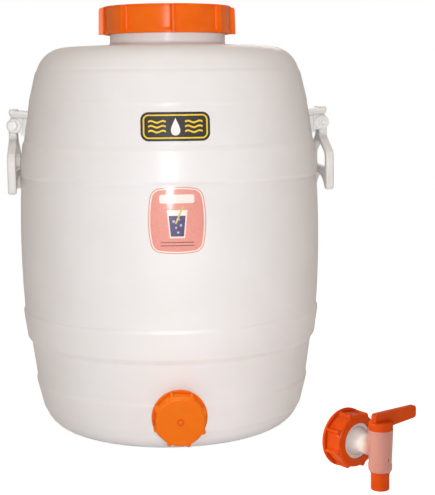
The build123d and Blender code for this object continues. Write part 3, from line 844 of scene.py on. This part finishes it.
def rounded_box(width, height, corner, z=0.0, steps=8):
    """A box with round corners, with its middle at height z."""
    points = []
    for quarter, (sx, sz) in enumerate(((1, 1), (-1, 1), (-1, -1), (1, -1))):
        for k in range(steps + 1):
            angle = pi / 2 * (quarter + k / steps)
            x = sx * (width / 2 - corner) + corner * cos(angle)
            points.append((x, z + sz * (height / 2 - corner) + corner * sin(angle)))
    return points


def ring_halves(outer, inner):
    """The border between two outlines as two closed halves, so that the middle stays open."""
    half = len(outer) // 2
    first = outer[: half + 1] + inner[: half + 1][::-1]
    second = outer[half:] + outer[:1] + inner[:1] + inner[half:][::-1]
    return [first, second]


drop_point = 1.6
drop_fullness = 1.3


def drop_outline(width, height, steps=40):
    """A falling drop about the label's centre: round below and pointed above."""
    points = []
    for k in range(steps):
        angle = 2 * pi * k / steps
        taper = sin(angle / 2) ** drop_point * drop_fullness
        points.append((width / 2 * sin(angle) * taper, height / 2 * cos(angle)))
    return points


def round_outline(across, x, z, steps=30):
    """A round spot."""
    turns = [2 * pi * k / steps for k in range(steps)]
    return [(x + across / 2 * cos(turn), z + across / 2 * sin(turn)) for turn in turns]


def wave_outline(start, end, z, swing, line, waves=1.5, steps=24):
    """A level wavy line of even thickness."""
    along = [start + (end - start) * k / steps for k in range(steps + 1)]
    rise = [swing * sin(2 * pi * waves * k / steps) for k in range(steps + 1)]
    upper = [(x, z + r + line / 2) for x, r in zip(along, rise)]
    lower = [(x, z + r - line / 2) for x, r in zip(along, rise)]
    return upper + lower[::-1]


def bar_outline(start, end, line):
    """A straight bar of even thickness between two points."""
    along = (Vector(end) - Vector(start)).normalized()
    side = Vector((-along.y, along.x)) * line / 2
    corners = (Vector(start) + side, Vector(start) - side, Vector(end) - side, Vector(end) + side)
    return [tuple(corner) for corner in corners]


# %% Badge
badge_coat = 0.4
badge_film = printed_film("badge_print", (0.020, 0.018, 0.017), (0.034, 0.030, 0.028), badge_coat)
dress(badge_film, "badge_label")
yellow_ink = printed_film("yellow_ink", (0.86, 0.58, 0.02), (0.90, 0.64, 0.04), badge_coat)
white_ink = printed_film("white_ink", (0.84, 0.83, 0.80), (0.89, 0.88, 0.86), badge_coat)

badge_border_start = 3.0
badge_border_end = 4.8
wave_middle = 23
wave_reach = 11
wave_heights = (-6.0, 0.0, 6.0)
wave_swing = 1.1
wave_line = 2.2

badge_rim = label_rim("badge_label")
badge_yellow = ring_halves(drawn_in(badge_rim, badge_border_start), drawn_in(badge_rim, badge_border_end))
for side in (-1, 1):
    start = side * wave_middle - wave_reach
    end = side * wave_middle + wave_reach
    for z in wave_heights:
        badge_yellow.append(wave_outline(start, end, z, wave_swing, wave_line))
print_ink("badge_yellow_ink", "badge_label", badge_yellow, yellow_ink)
badge_drop = drop_outline(width=13, height=22)
print_ink("badge_white_ink", "badge_label", [badge_drop], white_ink)

# %% [markdown]
# The contents label has a pale border, a pale space to write on, and a tumbler of dark drink with bubbles and
# a straw. The tumbler is drawn once as glass and once, smaller, as drink, and the bubbles are laid on top.
# Each bubble is given by its width and by where it lies, across and up.

# %% Contents label
contents_coat = 0.3
contents_film = printed_film("contents_print", (0.72, 0.285, 0.235), (0.77, 0.32, 0.265), contents_coat)
dress(contents_film, "contents_label")
pale_ink = printed_film("pale_ink", (0.86, 0.74, 0.70), (0.90, 0.80, 0.76), contents_coat)
plum_ink = printed_film("plum_ink", (0.060, 0.050, 0.13), (0.12, 0.085, 0.20), contents_coat)
bubble_ink = printed_film("bubble_ink", (0.42, 0.40, 0.55), (0.52, 0.50, 0.64), contents_coat)
straw_ink = printed_film("straw_ink", (0.62, 0.50, 0.10), (0.70, 0.58, 0.16), contents_coat)
rule_ink = printed_film("rule_ink", (0.20, 0.055, 0.045), (0.26, 0.075, 0.06), contents_coat)

contents_border_start = 1.2
contents_border_end = 2.8
rule_heights = (-27.5, -31.5)
glass = [(-13, 13), (-9.5, -22), (9.5, -22), (13, 13)]
drink = [(-10.6, 6), (-8.2, -20), (8.2, -20), (10.6, 6)]
straw = bar_outline(start=(-2, -4), end=(7.5, 17.5), line=2.2)
bubbles = [(3.6, -4.5, -1), (2.8, 2.0, 1.5), (3.2, 4.5, -6), (2.6, -1.5, -9), (3.0, 1.0, -15)]
writing_space = rounded_box(width=44, height=11, corner=3.0, z=27)
rules = [rounded_box(width=42, height=1.0, corner=0.45, z=z) for z in rule_heights]
contents_rim = label_rim("contents_label")
contents_pale = ring_halves(
    drawn_in(contents_rim, contents_border_start), drawn_in(contents_rim, contents_border_end)
)
contents_pale += [writing_space, glass]
for name, outlines, finish, layer in (
    ("contents_pale_ink", contents_pale, pale_ink, 1),
    ("contents_rule_ink", rules, rule_ink, 1),
    ("contents_drink_ink", [drink], plum_ink, 2),
    ("contents_straw_ink", [straw], straw_ink, 3),
    ("contents_bubble_ink", [round_outline(*spot) for spot in bubbles], bubble_ink, 3),
):
    print_ink(name, "contents_label", outlines, finish, layer)

# %% [markdown]
# ## Last measures
# The dressed object must keep the solids' size, so the largest change between the two boxes is printed.

# %% Sizes
new_low, new_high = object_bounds()
changes = [abs(old - new) for old, new in zip((*cad_low, *cad_high), (*new_low, *new_high))]
print("largest change in mm:", round(max(changes) / millimetre, 3))
